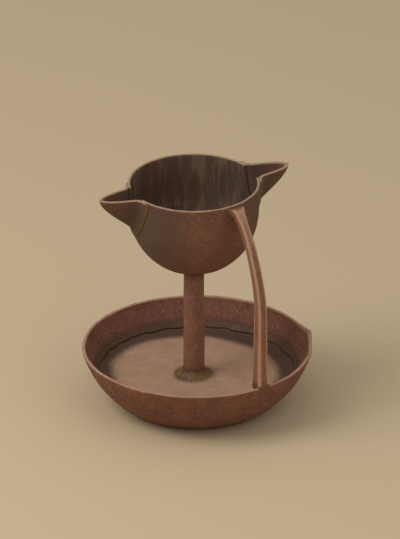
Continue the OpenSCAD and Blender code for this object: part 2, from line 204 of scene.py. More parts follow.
@dataclass
class Form:
    """A piece's points and faces while it is being shaped."""

    points: Outline
    faces: list[tuple[int, ...]]

    @classmethod
    def loft(cls, rings: Sequence[Outline], band: bool) -> "Form":
        """Skins closed outlines one after another.

        Args:
            rings: the outlines, all with the same number of points.
            band: whether the last outline joins the first; if not, both ends are capped.

        Returns:
            The closed form.
        """
        count, size = len(rings), len(rings[0])
        faces: list[tuple[int, ...]] = []
        for i in range(count if band else count - 1):
            low, high = i * size, (i + 1) % count * size
            for j in range(size):
                k = (j + 1) % size
                faces.append((low + j, low + k, high + k, high + j))
        if not band:
            for start in (0, (count - 1) * size):
                for j in range(size // 2 - 1):
                    faces.append((start + j, start + j + 1, start + size - 2 - j, start + size - 1 - j))
        return cls([point for ring in rings for point in ring], faces)

    def join(self, other: "Form") -> "Form":
        """Returns this form and another as one."""
        start = len(self.points)
        moved = [tuple(start + index for index in face) for face in other.faces]
        return Form(self.points + other.points, self.faces + moved)

    def move(self, drift: Callable[[Vector], Vector]) -> "Form":
        """Adds a displacement to every point.

        Args:
            drift: gives the displacement at a point.

        Returns:
            The moved form.
        """
        return Form([point + drift(point) for point in self.points], self.faces)

    def make(self, name: str, material: bpy.types.Material, height: float, size: float,
             coats: dict[Pattern, Rule] | None = None) -> bpy.types.Object:
        """Makes the object, with its rust heaved up along its normals.

        Args:
            name: the piece's name.
            material: its finish.
            height: how far the rust stands up or is eaten away.
            size: how far apart its humps are.
            coats: for each painted pattern, the rule that gives it at a point.

        Returns:
            The new object, linked to the scene.
        """
        mesh = bpy.data.meshes.new(name)
        mesh.from_pydata([tuple(point) for point in self.points], [], self.faces)
        work = bmesh.new()
        work.from_mesh(mesh)
        bmesh.ops.remove_doubles(work, verts=work.verts, dist=0.00001)
        bmesh.ops.recalc_face_normals(work, faces=work.faces)
        work.normal_update()
        low, high = CAD_BOX
        for vert in work.verts:
            heave = ripple(vert.co, size, 3.1) + 0.5 * ripple(vert.co, size / 2.3, 8.7)
            moved = vert.co + vert.normal * height * heave
            vert.co = [min(high[i], max(low[i], moved[i])) for i in range(3)]
        for face in work.faces:
            face.smooth = True
        work.to_mesh(mesh)
        work.free()
        for pattern, rule in (coats or {}).items():
            layer = mesh.attributes.new(pattern.value, "FLOAT", "POINT")
            layer.data.foreach_set("value", [rule(vert.co) for vert in mesh.vertices])
        mesh.materials.append(material)
        piece = bpy.data.objects.new(name, mesh)
        bpy.context.scene.collection.objects.link(piece)
        return piece


def stand_for(piece: bpy.types.Object, slot: Slot, *nodes: str) -> None:
    """Puts a piece in the place of its CAD nodes.

    Args:
        piece: the dressed piece.
        slot: the CAD material slot of the piece; not used.
        nodes: the CAD nodes that it stands for.
    """
    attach(piece, "root")
    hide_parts(*nodes)
    LOG.info("%s stands for %s with %d faces", piece.name, ", ".join(nodes), len(piece.data.polygons))


# Finishes


def linear(colour: str) -> tuple[float, float, float, float]:
    """Turns an sRGB hex colour such as "#6b4430" to linear RGBA."""
    shares = [int(colour[i : i + 2], 16) / 255 for i in (1, 3, 5)]
    red, green, blue = [s / 12.92 if s <= 0.04045 else ((s + 0.055) / 1.055) ** 2.4 for s in shares]
    return red, green, blue, 1.0


def add_node(tree: bpy.types.NodeTree, kind: str, settings: dict | None = None,
             links: dict | None = None) -> bpy.types.Node:
    """Adds a shader node.

    Args:
        tree: the material's node tree.
        kind: the node's type.
        settings: values of its properties and of its unlinked sockets.
        links: for each linked socket, the output that feeds it.

    Returns:
        The new node.
    """
    node = tree.nodes.new(kind)
    for key, value in (settings or {}).items():
        if isinstance(key, str) and hasattr(node, key):
            setattr(node, key, value)
        else:
            node.inputs[key].default_value = value
    for key, output in (links or {}).items():
        tree.links.new(output, node.inputs[key])
    return node


def per_metre(millimetres: float) -> float:
    """Returns the texture scale whose humps are that many millimetres apart."""
    return 1 / (millimetres * MM)


@dataclass(frozen=True)
class Coat:
    """A colour that shows where a pattern lies between two levels."""

    pattern: Pattern
    low: float
    high: float
    strength: float
    colour: str


@dataclass(frozen=True)
class Finish:
    """A weathered metal: a ground colour, coats of rust and dirt over it, and a rough skin."""

    name: str
    ground: str
    coats: tuple[Coat, ...]
    stain_mm: float = 14.0
    mottle_mm: float = 4.0
    grain_mm: float = 1.1
    pits_mm: float = 2.4
    runs_mm: float = 5.0
    grain_height: float = 0.16 * MM
    mottle_height: float = 0.30 * MM
    smoothest: float = 0.62
    roughest: float = 0.92
    metallic: float = 0.0

    def patterns(self, tree: bpy.types.NodeTree) -> dict[Pattern, bpy.types.NodeSocket]:
        """Makes the patterns that the coats choose from.

        Args:
            tree: the material's node tree.

        Returns:
            For each pattern, the socket that gives it.
        """
        place = add_node(tree, "ShaderNodeTexCoord").outputs["Object"]
        drawn = {}
        for pattern, size, detail, rough in (
            (Pattern.STAIN, self.stain_mm, 5.0, 0.62),
            (Pattern.MOTTLE, self.mottle_mm, 5.0, 0.66),
            (Pattern.GRAIN, self.grain_mm, 3.0, 0.6),
        ):
            settings = {"Scale": per_metre(size), "Detail": detail, "Roughness": rough}
            drawn[pattern] = add_node(tree, "ShaderNodeTexNoise", settings, {"Vector": place}).outputs[0]
        pits = add_node(tree, "ShaderNodeTexVoronoi", {"Scale": per_metre(self.pits_mm)}, {"Vector": place})
        drawn[Pattern.PITS] = pits.outputs["Distance"]
        # Runs are noise drawn out upwards, on the inside only
        tall = add_node(tree, "ShaderNodeMapping", {"Scale": (1.0, 1.0, 0.12)}, {"Vector": place})
        settings = {"Scale": per_metre(self.runs_mm), "Detail": 3.0, "Roughness": 0.5}
        runs = add_node(tree, "ShaderNodeTexNoise", settings, {"Vector": tall.outputs[0]})
        for pattern in PAINTED:
            level = add_node(tree, "ShaderNodeAttribute", {"attribute_name": pattern.value})
            settings = {"operation": "MULTIPLY_ADD", 1: 0.5}
            frayed = add_node(tree, "ShaderNodeMath", settings,
                              {0: drawn[Pattern.MOTTLE], 2: level.outputs["Fac"]})
            drawn[pattern] = frayed.outputs[0]
            if pattern is Pattern.INSIDE:
                within = add_node(tree, "ShaderNodeMath", {"operation": "MULTIPLY"},
                                  {0: runs.outputs[0], 1: level.outputs["Fac"]})
                drawn[Pattern.RUNS] = within.outputs[0]
        return drawn

    def material(self) -> bpy.types.Material:
        """Returns the finish as a material."""
        made = bpy.data.materials.new(self.name)
        made.use_nodes = True
        tree = made.node_tree
        tree.nodes.clear()
        drawn = self.patterns(tree)
        tone = None
        for coat in self.coats:
            settings = {"From Min": coat.low, "From Max": coat.high, "To Max": coat.strength}
            share = add_node(tree, "ShaderNodeMapRange", settings, {"Value": drawn[coat.pattern]})
            settings = {"data_type": "RGBA", 7: linear(coat.colour)}
            links = {0: share.outputs[0]}
            if tone is None:
                settings[6] = linear(self.ground)
            else:
                links[6] = tone
            tone = add_node(tree, "ShaderNodeMix", settings, links).outputs[2]
        settings = {"To Min": self.roughest, "To Max": self.smoothest, "From Min": 0.3, "From Max": 0.7}
        gloss = add_node(tree, "ShaderNodeMapRange", settings, {"Value": drawn[Pattern.GRAIN]})
        low = add_node(tree, "ShaderNodeBump", {"Distance": self.mottle_height},
                       {"Height": drawn[Pattern.MOTTLE]})
        high = add_node(tree, "ShaderNodeBump", {"Distance": self.grain_height},
                        {"Height": drawn[Pattern.GRAIN], "Normal": low.outputs[0]})
        shader = add_node(tree, "ShaderNodeBsdfPrincipled", {"Metallic": self.metallic},
                          {"Base Color": tone, "Roughness": gloss.outputs[0], "Normal": high.outputs[0]})
        add_node(tree, "ShaderNodeOutputMaterial", None, {"Surface": shader.outputs[0]})
        return made


# Wrought iron plate raised by hammer, long rusted: matt red-brown, granular, rubbed pale on edges, where a
# highlight is also painted; darker in the inner corner with grease and painted shade
RAISED_PLATE = Finish(
    "raised_wrought_iron_plate",
    "#784834",
    (
        Coat(Pattern.STAIN, 0.42, 0.62, 0.55, "#5a3626"),
        Coat(Pattern.MOTTLE, 0.52, 0.70, 0.55, "#96644a"),
        Coat(Pattern.PITS, 0.30, 0.05, 0.35, "#3e251b"),
        Coat(Pattern.GRAIN, 0.55, 0.75, 0.55, "#a87a5e"),
        Coat(Pattern.GRAIN, 0.45, 0.28, 0.60, "#442a20"),
        # Dark grease and painted shade in the pan's inner corner, and darker towards the base
        Coat(Pattern.SOIL_AND_SHADE, 0.35, 1.15, 0.85, "#3d2620"),
        # Rubbed pale rim with a painted highlight on it
        Coat(Pattern.WEAR_AND_HIGHLIGHT, 0.75, 1.15, 0.85, "#b58a6e"),
    ),
)
# The same plate where grease has burned on: grey-brown, darker towards the font's sides with soot and painted
# shade, with redder rust where it was rubbed and a painted highlight on the rims
SOOTED_PLATE = Finish(
    "sooted_wrought_iron_plate",
    "#714731",
    (
        Coat(Pattern.STAIN, 0.45, 0.62, 0.50, "#5d4030"),
        Coat(Pattern.MOTTLE, 0.52, 0.70, 0.45, "#8e5d40"),
        Coat(Pattern.PITS, 0.30, 0.05, 0.35, "#33241b"),
        Coat(Pattern.GRAIN, 0.55, 0.75, 0.50, "#a07453"),
        Coat(Pattern.GRAIN, 0.45, 0.28, 0.60, "#3a271d"),
        # Soot and painted shade on the font's sides
        Coat(Pattern.SOOT_AND_SHADE, 0.30, 1.10, 0.75, "#46362a"),
        Coat(Pattern.INSIDE, 0.60, 1.10, 0.70, "#4b3a2d"),
        Coat(Pattern.RUNS, 0.50, 0.64, 0.55, "#7a6049"),
        Coat(Pattern.SOIL_AND_SHADE, 0.35, 1.15, 0.80, "#33271f"),
        # Rubbed pale rims with a painted highlight on them
        Coat(Pattern.WEAR_AND_HIGHLIGHT, 0.75, 1.15, 0.85, "#a98a6c"),
    ),
)
# Sheet scoured by grease and ash: pale tan where it was wiped, dark at its edge by the wall with gummy grease
# and painted shade
SCOURED_SHEET = Finish(
    "scoured_iron_sheet",
    "#a88468",
    (
        Coat(Pattern.STAIN, 0.40, 0.66, 0.45, "#8c684e"),
        Coat(Pattern.MOTTLE, 0.55, 0.72, 0.45, "#bb9a7d"),
        Coat(Pattern.PITS, 0.28, 0.04, 0.30, "#6d4c38"),
        Coat(Pattern.GRAIN, 0.45, 0.28, 0.45, "#6f4f3b"),
        # Dark grease and painted shade at the floor's edge by the wall
        Coat(Pattern.SOIL_AND_SHADE, 0.35, 1.10, 0.95, "#452e25"),
    ),
)
# Bar drawn down on the anvil and polished by hands: smoother, with paler arrises, partly rubbed and partly
# painted highlight
FORGED_BAR = Finish(
    "hand_forged_iron_bar",
    "#85563f",
    (
        Coat(Pattern.STAIN, 0.42, 0.64, 0.50, "#6a4231"),
        Coat(Pattern.MOTTLE, 0.54, 0.72, 0.45, "#a57458"),
        Coat(Pattern.PITS, 0.28, 0.05, 0.30, "#452a20"),
        Coat(Pattern.GRAIN, 0.56, 0.75, 0.45, "#b58767"),
        Coat(Pattern.GRAIN, 0.44, 0.28, 0.50, "#4c3024"),
        # Darker at the joints; at the stem's top, under the bowl, painted shadow
        Coat(Pattern.SOIL_AND_SHADE, 0.35, 1.15, 0.75, "#452b22"),
        # Rubbed pale arrises and middle, with a painted highlight on the arrises
        Coat(Pattern.WEAR_AND_HIGHLIGHT, 0.75, 1.15, 0.80, "#b48c6c"),
    ),
    grain_height=0.10 * MM,
    smoothest=0.5,
)
# Brass spelter that ran and set: yellow where it shows, dull and stained brown with rust
BRASS_SPELTER = Finish(
    "brass_brazing_spelter",
    "#80663e",
    (
        Coat(Pattern.STAIN, 0.45, 0.60, 0.70, "#654630"),
        Coat(Pattern.MOTTLE, 0.52, 0.68, 0.55, "#a1865a"),
        Coat(Pattern.GRAIN, 0.44, 0.28, 0.55, "#4a3526"),
        Coat(Pattern.SOIL_AND_SHADE, 0.35, 1.15, 0.85, "#4a3226"),
    ),
    smoothest=0.42,
    roughest=0.8,
    metallic=0.35,
)
# Dry sand, which only a look inside the base would show: pale, even grains
DRY_SAND = Finish(
    "dry_river_sand",
    "#b59d74",
    (
        Coat(Pattern.GRAIN, 0.5, 0.7, 0.6, "#d2c09a"),
        Coat(Pattern.GRAIN, 0.45, 0.3, 0.6, "#8a744f"),
    ),
    grain_mm=0.8,
    smoothest=0.85,
    roughest=0.95,
)


# Pan


@dataclass
class DripPan:
    """The raised pan: a dished underside, a rounded wall and a small pouring lip."""

    rim_radius: float = 76.1 * MM
    height: float = 38.5 * MM
    base_radius: float = 47 * MM
    arc: float = 60 * MM
    sheet: float = 2.2 * MM
    kick: float = 2.8 * MM
    dish_radius: float = 17 * MM
    ring_radius: float = 34 * MM
    hole_radius: float = 3.8 * MM
    hole_shift: float = -2.2 * MM
    lip_bearing: float = math.radians(-10)
    lip_out: float = 2.0 * MM
    lip_up: float = 2.4 * MM
    lip_half: float = math.radians(13)
    lip_depth: float = 9 * MM
    dent: float = 0.35 * MM
    dent_size: float = 17 * MM
    steps: int = 400

    def __post_init__(self) -> None:
        """Works out the centre of the wall's arc."""
        chord = Vector((self.base_radius - self.rim_radius, -self.height))
        across = Vector((chord.y, -chord.x)).normalized()
        rise = math.sqrt(self.arc**2 - chord.length_squared / 4)
        middle = Vector((self.rim_radius + self.base_radius, self.height)) / 2
        self.centre = middle + across * rise

    def wall(self, z: float, inset: float) -> float:
        """Returns the wall's radius at a height, inset from its outer face."""
        return self.centre.x + math.sqrt((self.arc - inset) ** 2 - (z - self.centre.y) ** 2)

    def outline(self) -> Outline:
        """Returns the closed section of the sheet, from the rivet hole out, up and back."""
        edge = 0.45 * self.sheet
        heights = [self.height * i / 40 for i in range(41)]
        under = [Vector((self.hole_radius, self.kick)), Vector((self.dish_radius, self.kick)),
                 Vector((self.ring_radius, 0.0))]
        outer = under + [Vector((self.wall(z, 0.0), z)) for z in heights]
        outer = soften(resample(outer, 92), 5)
        inner = [Vector((self.wall(z, self.sheet), z)) for z in reversed(heights[16:])]
        back = [Vector((self.ring_radius, self.sheet)), Vector((self.dish_radius, self.kick + self.sheet)),
                Vector((self.hole_radius, self.kick + self.sheet))]
        outer = [p - Vector((0.0, edge * smooth(p.y / self.height * 4 - 3))) for p in outer]
        inner = [p - Vector((0.0, edge * smooth(p.y / self.height * 4 - 3))) for p in inner]
        return outer + lip_over(outer[-1], inner[0], Vector((0.0, 1.0)), 0.75) + inner + back

    def place(self, point: Vector, angle: float) -> Vector:
        """Turns a section's point round the pan's axis and draws out the lip.

        Args:
            point: radius and height in the section.
            angle: the bearing in radians.

        Returns:
            The point in the frame.
        """
        away = abs((angle - self.lip_bearing + math.pi) % TAU - math.pi)
        drawn = max(0.0, 1 - away / self.lip_half) ** 1.35
        near_rim = smooth(1 - (self.height - point.y) / self.lip_depth)
        near_hole = 1 - smooth((point.x - self.hole_radius) / (self.dish_radius - self.hole_radius))
        flaked = 0.35 * MM * ripple(polar(self.rim_radius, angle), 7 * MM, 5.0) * near_rim
        radius = point.x + self.lip_out * drawn * near_rim
        height = point.y + self.lip_up * drawn * near_rim**2 + flaked
        return polar(radius, angle, height) + Vector((self.hole_shift * near_hole, 0.0, 0.0))

    def drift(self, point: Vector) -> Vector:
        """Returns how far hammering has moved the sheet at a point."""
        out = (point - Vector((0.0, 0.0, 1.6 * self.height))).normalized()
        still = smooth(point.z / (6 * MM))
        return out * self.dent * still * (ripple(point, self.dent_size, 1.3) - 0.55)

    def inside(self, point: Vector) -> float:
        """Returns 1 on the inner face and 0 on the outer one."""
        radius = math.hypot(point.x, point.y)
        within = radius < self.wall(min(point.z, self.height), 0.55 * self.sheet)
        return 1.0 if within and point.z > self.kick + 0.5 * self.sheet else 0.0

    def wear_and_highlight(self, point: Vector) -> float:
        """Returns how pale the sheet is: most on the rim, where it is rubbed and where a highlight is
        painted.
        """
        return 0.85 * smooth((point.z - self.height + 1.7 * MM) / (1.3 * MM))

    def soil_and_shade(self, point: Vector) -> float:
        """Returns how dark the sheet is: grease and painted shade in the inner corner, and darker towards the
        base.
        """
        # Grease and painted shade in the corner inside the wall
        in_corner = self.inside(point) * (1 - smooth((point.z - 20 * MM) / (9 * MM)))
        at_base = 0.5 * (1 - smooth(point.z / (12 * MM)))
        return max(in_corner, at_base)

    def dress(self) -> None:
        """Builds the pan."""
        section = self.outline()
        angles = [TAU * i / self.steps for i in range(self.steps)]
        form = Form.loft([[self.place(p, angle) for p in section] for angle in angles], True)
        coats = {Pattern.WEAR_AND_HIGHLIGHT: self.wear_and_highlight, Pattern.SOIL_AND_SHADE: self.soil_and_shade}
        form = form.move(self.drift)
        piece = form.make("raised_drip_pan", RAISED_PLATE.material(), 0.10 * MM, 2.6 * MM, coats)
        stand_for(piece, Slot.PAN, "drip_pan")


@dataclass
class PanFloor:
    """The inner floor: a shallow dish that closes the weighted base."""

    pan: DripPan
    top: float = 18.5 * MM
    sheet: float = 1.6 * MM
    hole_radius: float = 7.2 * MM
    bend_radius: float = 8 * MM
    turn: float = math.radians(60)
    clear_radius: float = 49 * MM
    steps: int = 320

    def edge(self) -> Vector:
        """Returns the radius and height of the floor's turned-up edge."""
        height = self.top + self.bend_radius * (1 - math.cos(self.turn))
        return Vector((self.pan.wall(height, self.pan.sheet), height))

    def outline(self) -> Outline:
        """Returns the closed section of the floor, from its hole out and back."""
        edge = self.edge()
        flat = edge.x - self.bend_radius * math.sin(self.turn)
        turns = [self.turn * i / 10 for i in range(11)]
        top = [Vector((self.hole_radius, self.top))]
        top += [Vector((flat + self.bend_radius * math.sin(t),
                        self.top + self.bend_radius * (1 - math.cos(t)))) for t in turns]
        top = soften(resample(top, 56), 3)
        under = [Vector((edge.x - 1.2 * MM, edge.y - 1.4 * MM)), Vector((flat, self.top - self.sheet)),
                 Vector((self.hole_radius, self.top - self.sheet))]
        return top + under

    def drift(self, point: Vector) -> Vector:
        """Returns how uneven the floor is at a point."""
        free = smooth((self.edge().x - math.hypot(point.x, point.y)) / (8 * MM))
        return Vector((0.0, 0.0, 0.45 * MM * free * ripple(point, 21 * MM, 2.2)))

    def soil_and_shade(self, point: Vector) -> float:
        """Returns how dark the floor is: grease and painted shade most towards the wall, and darker round the
        stem's foot.
        """
        radius = math.hypot(point.x - self.pan.hole_shift, point.y)
        bay = 3.5 * MM * ripple(point, 24 * MM, 6.0)
        # Grease and painted shade in the ring by the wall
        rim = smooth((radius + bay - self.clear_radius) / (11 * MM))
        foot = 0.8 * (1 - smooth((radius - 9 * MM) / (9 * MM)))
        return max(rim, foot)

    def dress(self) -> None:
        """Builds the floor and gives the sand under it its finish."""
        shift = self.pan.hole_shift
        section = self.outline()
        drawn_in = [1 - smooth((p.x - self.hole_radius) / (30 * MM)) for p in section]
        moves = [Vector((shift * share, 0.0, 0.0)) for share in drawn_in]
        rings = []
        for i in range(self.steps):
            angle = TAU * i / self.steps
            rings.append([polar(p.x, angle, p.y) + move for p, move in zip(section, moves)])
        form = Form.loft(rings, True).move(self.drift)
        piece = form.make("scoured_pan_floor", SCOURED_SHEET.material(), 0.09 * MM, 3 * MM,
                          {Pattern.SOIL_AND_SHADE: self.soil_and_shade})
        stand_for(piece, Slot.FLOOR, "pan_floor")
        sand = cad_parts["sand_fill"]
        for slot in sand.material_slots:
            slot.material = DRY_SAND.material()


# Stem and font


@dataclass
class Font:
    """The open bowl, notched for its two spouts."""

    shift: float = -2.2 * MM
    rim_height: float = 159.7 * MM
    rim_radius: float = 43.8 * MM
    ball_radius: float = 43.2 * MM
    wall_height: float = 20.4 * MM
    sheet: float = 1.8 * MM
    hole_radius: float = 3.8 * MM
    dent: float = 0.30 * MM
    dent_size: float = 15 * MM

    @property
    def centre(self) -> Vector:
        """The centre of the round bottom."""
        return Vector((self.shift, 0.0, self.rim_height - self.wall_height))

    @property
    def low(self) -> float:
        """The height of the lowest point of the bowl."""
        return self.centre.z - self.ball_radius

    def wall(self, drop: float, off: float) -> float:
        """Returns the wall's radius at a height from the rim (down is negative), off its outer face."""
        if drop > -self.wall_height:
            return self.rim_radius + off + (self.rim_radius - self.ball_radius) * drop / self.wall_height
        return math.sqrt(max(0.0, (self.ball_radius + off) ** 2 - (drop + self.wall_height) ** 2))

    def on_wall(self, y: float, drop: float, off: float) -> Vector:
        """Returns the point of the wall at side y, counted from a spout's plane."""
        return Vector((math.sqrt(self.wall(drop, off) ** 2 - y * y), y, drop))

    def drift(self, point: Vector) -> Vector:
        """Returns how far hammering has moved the sheet at a point, for all that is on the font."""
        out = (point - self.centre).normalized()
        return out * self.dent * (ripple(point, self.dent_size, 4.1) - 0.6)

    def inside(self, point: Vector) -> float:
        """Returns 1 on the inner face and 0 on the outer one."""
        drop = min(0.0, point.z - self.rim_height)
        radius = math.hypot(point.x - self.shift, point.y)
        return 1.0 if radius < self.wall(drop, -0.6 * self.sheet - 0.2 * MM) else 0.0

    def soot_and_shade(self, point: Vector) -> float:
        """Returns how dark the outside is towards its sides: soot from the flames of the two wicks, and
        painted shade where the round bowl turns away from the light.
        """
        across = abs(point.x - self.shift) / self.rim_radius
        return 0.85 * smooth((across - 0.30) / 0.5) * smooth((point.z - self.low) / (30 * MM))

    def wear_and_highlight(self, point: Vector) -> float:
        """Returns how pale the sheet is: most on the rim, where it is rubbed and where a highlight is
        painted.
        """
        return 0.9 * smooth((point.z - self.rim_height + 1.5 * MM) / (1.0 * MM))

    def soil_and_shade(self, point: Vector) -> float:
        """Returns how dark old grease has made the bowl: most at its bottom, inside."""
        return 0.6 * self.inside(point) * (1 - smooth((point.z - self.low) / (30 * MM)))


@dataclass
class FontBowl:
    """The bowl's own sheet."""

    font: Font
    mouth_half: float
    mouth_depth: float
    mouth_form: float
    rows: int = 64
    plain_columns: int = 130
    notch_columns: int = 40

    def notch(self, y: float) -> float:
        """Returns how far below the rim the sheet ends, at side y of a spout's plane."""
        share = min(1.0, abs(y) / self.mouth_half) ** self.mouth_form
        return self.mouth_depth * (1 - share) ** (1 / self.mouth_form)

    def bearings(self) -> list[tuple[float, float]]:
        """Returns the columns round the bowl as pairs of bearing and depth of the notch."""
        radius = self.font.rim_radius
        power = 2 / self.mouth_form
        edge = math.asin(self.mouth_half / radius)
        half_turn = []
        for i in range(self.notch_columns + 1):
            slope = math.radians(-90 + 180 * i / self.notch_columns)
            y = self.mouth_half * math.copysign(abs(math.sin(slope)) ** power, slope)
            half_turn.append((math.asin(y / radius), self.notch(y)))
        for i in range(1, self.plain_columns):
            half_turn.append((mix(edge, math.pi - edge, i / self.plain_columns), 0.0))
        return half_turn + [(angle + math.pi, depth) for angle, depth in half_turn]

    def section(self, depth: float) -> Outline:
        """Returns the closed section of the sheet where it ends that deep below the rim."""
        font = self.font
        edge = 0.4 * font.sheet
        top = -max(depth, edge)
        start = math.acos(font.hole_radius / font.ball_radius)
        lines = []
        for off in (0.0, -font.sheet):
            radius = font.ball_radius + off
            line = [Vector((font.hole_radius, -font.wall_height - radius * math.sin(start)))]
            for i in range(1, 60):
                turn = mix(start, 0.0, i / 59)
                drop = -font.wall_height - radius * math.sin(turn)
                if drop < top:
                    line.append(Vector((font.wall(drop, off), drop)))
            line.append(Vector((font.wall(top, off), top)))
            lines.append(resample(line, self.rows))
        outer, inner = lines[0], lines[1][::-1]
        return outer + lip_over(outer[-1], inner[0], Vector((0.0, 1.0)), 0.75) + inner

    def dress(self) -> None:
        """Builds the bowl."""
        font = self.font
        rings = []
        for angle, depth in self.bearings():
            flaked = 0.25 * MM * (ripple(polar(font.rim_radius, angle), 6 * MM, 7.0) - 0.5)
            ring = []
            for p in self.section(depth):
                lift = flaked * smooth(1 + p.y / (6 * MM))
                ring.append(polar(p.x, angle, font.rim_height + p.y + lift) + Vector((font.shift, 0.0, 0.0)))
            rings.append(ring)
        form = Form.loft(rings, True).move(font.drift)
        coats = {Pattern.WEAR_AND_HIGHLIGHT: font.wear_and_highlight, Pattern.SOIL_AND_SHADE: font.soil_and_shade, Pattern.SOOT_AND_SHADE: font.soot_and_shade,
                 Pattern.INSIDE: font.inside}
        piece = form.make("raised_font_bowl", SOOTED_PLATE.material(), 0.09 * MM, 2.4 * MM, coats)
        stand_for(piece, Slot.FONT, "font_bowl")


@dataclass
class Spout:
    """A V-shaped trough with a flange that laps on the font's wall."""

    font: Font
    side: Side
    reach: float = 68.4 * MM
    width: float = 21 * MM
    depth: float = 25 * MM
    sheet: float = 1.7 * MM
    flange: float = 4 * MM
    form: float = 1.45
    blunt_width: float = 0.5
    blunt_depth: float = 0.25
    flare: float = 1.6 * MM
    flare_share: float = 0.18
    keel_slant: float = 1.2
    tip_slant: float = 1.4
    rim_angle: float = 87.0
    columns: int = 44
    rows: int = 76

    def swell(self, u: float, blunt: float) -> float:
        """Returns the growth from the tip, u = 0, to the font, u = 1."""
        return (1 - blunt) * u + blunt * math.sqrt(1 - (1 - u) ** 4)

    def throat(self, u: float) -> float:
        """Returns how far the spout flares out beside the font."""
        return self.flare * max(0.0, 1 - (1 - u) / self.flare_share) ** 2

    def half_width(self, u: float, inset: float) -> float:
        """Returns half of the width at u, inset from the outer face."""
        return (self.width / 2 - inset) * self.swell(u, self.blunt_width) + self.throat(u)

    def keel(self, u: float, inset: float) -> float:
        """Returns the depth at u, inset from the outer face."""
        return (self.depth - self.keel_slant * inset) * self.swell(u, self.blunt_depth) + self.throat(u)

    def across(self, slope: float) -> tuple[float, float]:
        """Returns the section at an angle: -90 at the near rim, 0 at the keel, 90 at the far rim."""
        power = 2 / self.form
        turn = math.radians(slope)
        return math.copysign(abs(math.sin(turn)) ** power, slope), -(math.cos(turn) ** power)

    def mouth(self, slope: float, inset: float, grow: float, off: float) -> Vector:
        """Returns a point of the spout's outline on the font's wall.

        Args:
            slope: the angle round the section, in degrees.
            inset: how far inside the outer face.
            grow: how much wider than the spout.
            off: how far off the wall's outer face.

        Returns:
            The point, counted from the font's axis and rim.
        """
        y, z = self.across(slope)
        return self.font.on_wall((self.half_width(1.0, inset) + grow) * y,
                                 (self.keel(1.0, inset) + grow) * z, off)

    def line(self, slope: float, off: float, inset: float) -> Outline:
        """Returns one line of a face, from the flange's edge over the fold to the tip."""
        grows = [self.flange * (1 - i / 5) for i in range(5)]
        run = [self.mouth(slope, 0.0, grow, off) for grow in grows]
        root = self.mouth(slope, inset, 0.0, off)
        y, z = self.across(slope)
        tip = self.reach - self.tip_slant * inset
        for i in range(49):
            u = (1 - i / 48) ** 1.5 * 0.997 + 0.003
            run.append(Vector((root.x + (tip - root.x) * (1 - u), self.half_width(u, inset) * y,
                               self.keel(u, inset) * z)))
        return soften(resample(run, self.rows), 2)

    def place(self, point: Vector) -> Vector:
        """Turns a point of the spout to its side of the font."""
        turned = Vector((point.x * self.side.value, point.y * self.side.value, point.z))
        return turned + Vector((self.font.shift, 0.0, self.font.rim_height))

    def lean(self, point: Vector) -> float:
        """Returns how far out along the spout a point is, from 0 at the font to 1 at the tip."""
        out = (point.x - self.font.shift) * self.side.value - self.font.rim_radius
        return out / (self.reach - self.font.rim_radius)

    def wear_and_highlight(self, point: Vector) -> float:
        """Returns how pale the sheet is: most on the rim, where it is rubbed and a highlight is painted, and
        on the rubbed nose.
        """
        rim = 0.9 * smooth((point.z - self.font.rim_height + 1.4 * MM) / (0.9 * MM))
        return max(rim, 0.5 * smooth((self.lean(point) - 0.75) / 0.25))

    def soot_and_shade(self, point: Vector) -> float:
        """Returns how dark the wick's flame has left the sheet."""
        return 0.9 - 0.4 * smooth(self.lean(point) * 1.4)

    def dress(self) -> None:
        """Builds the spout."""
        slopes = [mix(-self.rim_angle, self.rim_angle, i / self.columns) for i in range(self.columns + 1)]
        outer = [self.line(slope, self.sheet, 0.0) for slope in slopes]
        inner = [self.line(slope, 0.0, self.sheet) for slope in slopes]
        up = Vector((0.0, 0.0, 1.0))
        rings = []
        for row in range(self.rows):
            face, back = [line[row] for line in outer], [line[row] for line in reversed(inner)]
            ring = face + lip_over(face[-1], back[0], up, 0.5) + back + lip_over(back[-1], face[0], up, 0.5)
            rings.append([self.place(p) for p in ring])
        form = Form.loft(rings, False).move(self.font.drift)
        coats = {Pattern.WEAR_AND_HIGHLIGHT: self.wear_and_highlight, Pattern.SOOT_AND_SHADE: self.soot_and_shade, Pattern.INSIDE: self.font.inside}
        name = self.side.name.lower()
        piece = form.make(f"{name}_wick_spout", SOOTED_PLATE.material(), 0.08 * MM, 2.2 * MM, coats)
        stand_for(piece, Slot.FONT, f"{name}_spout")


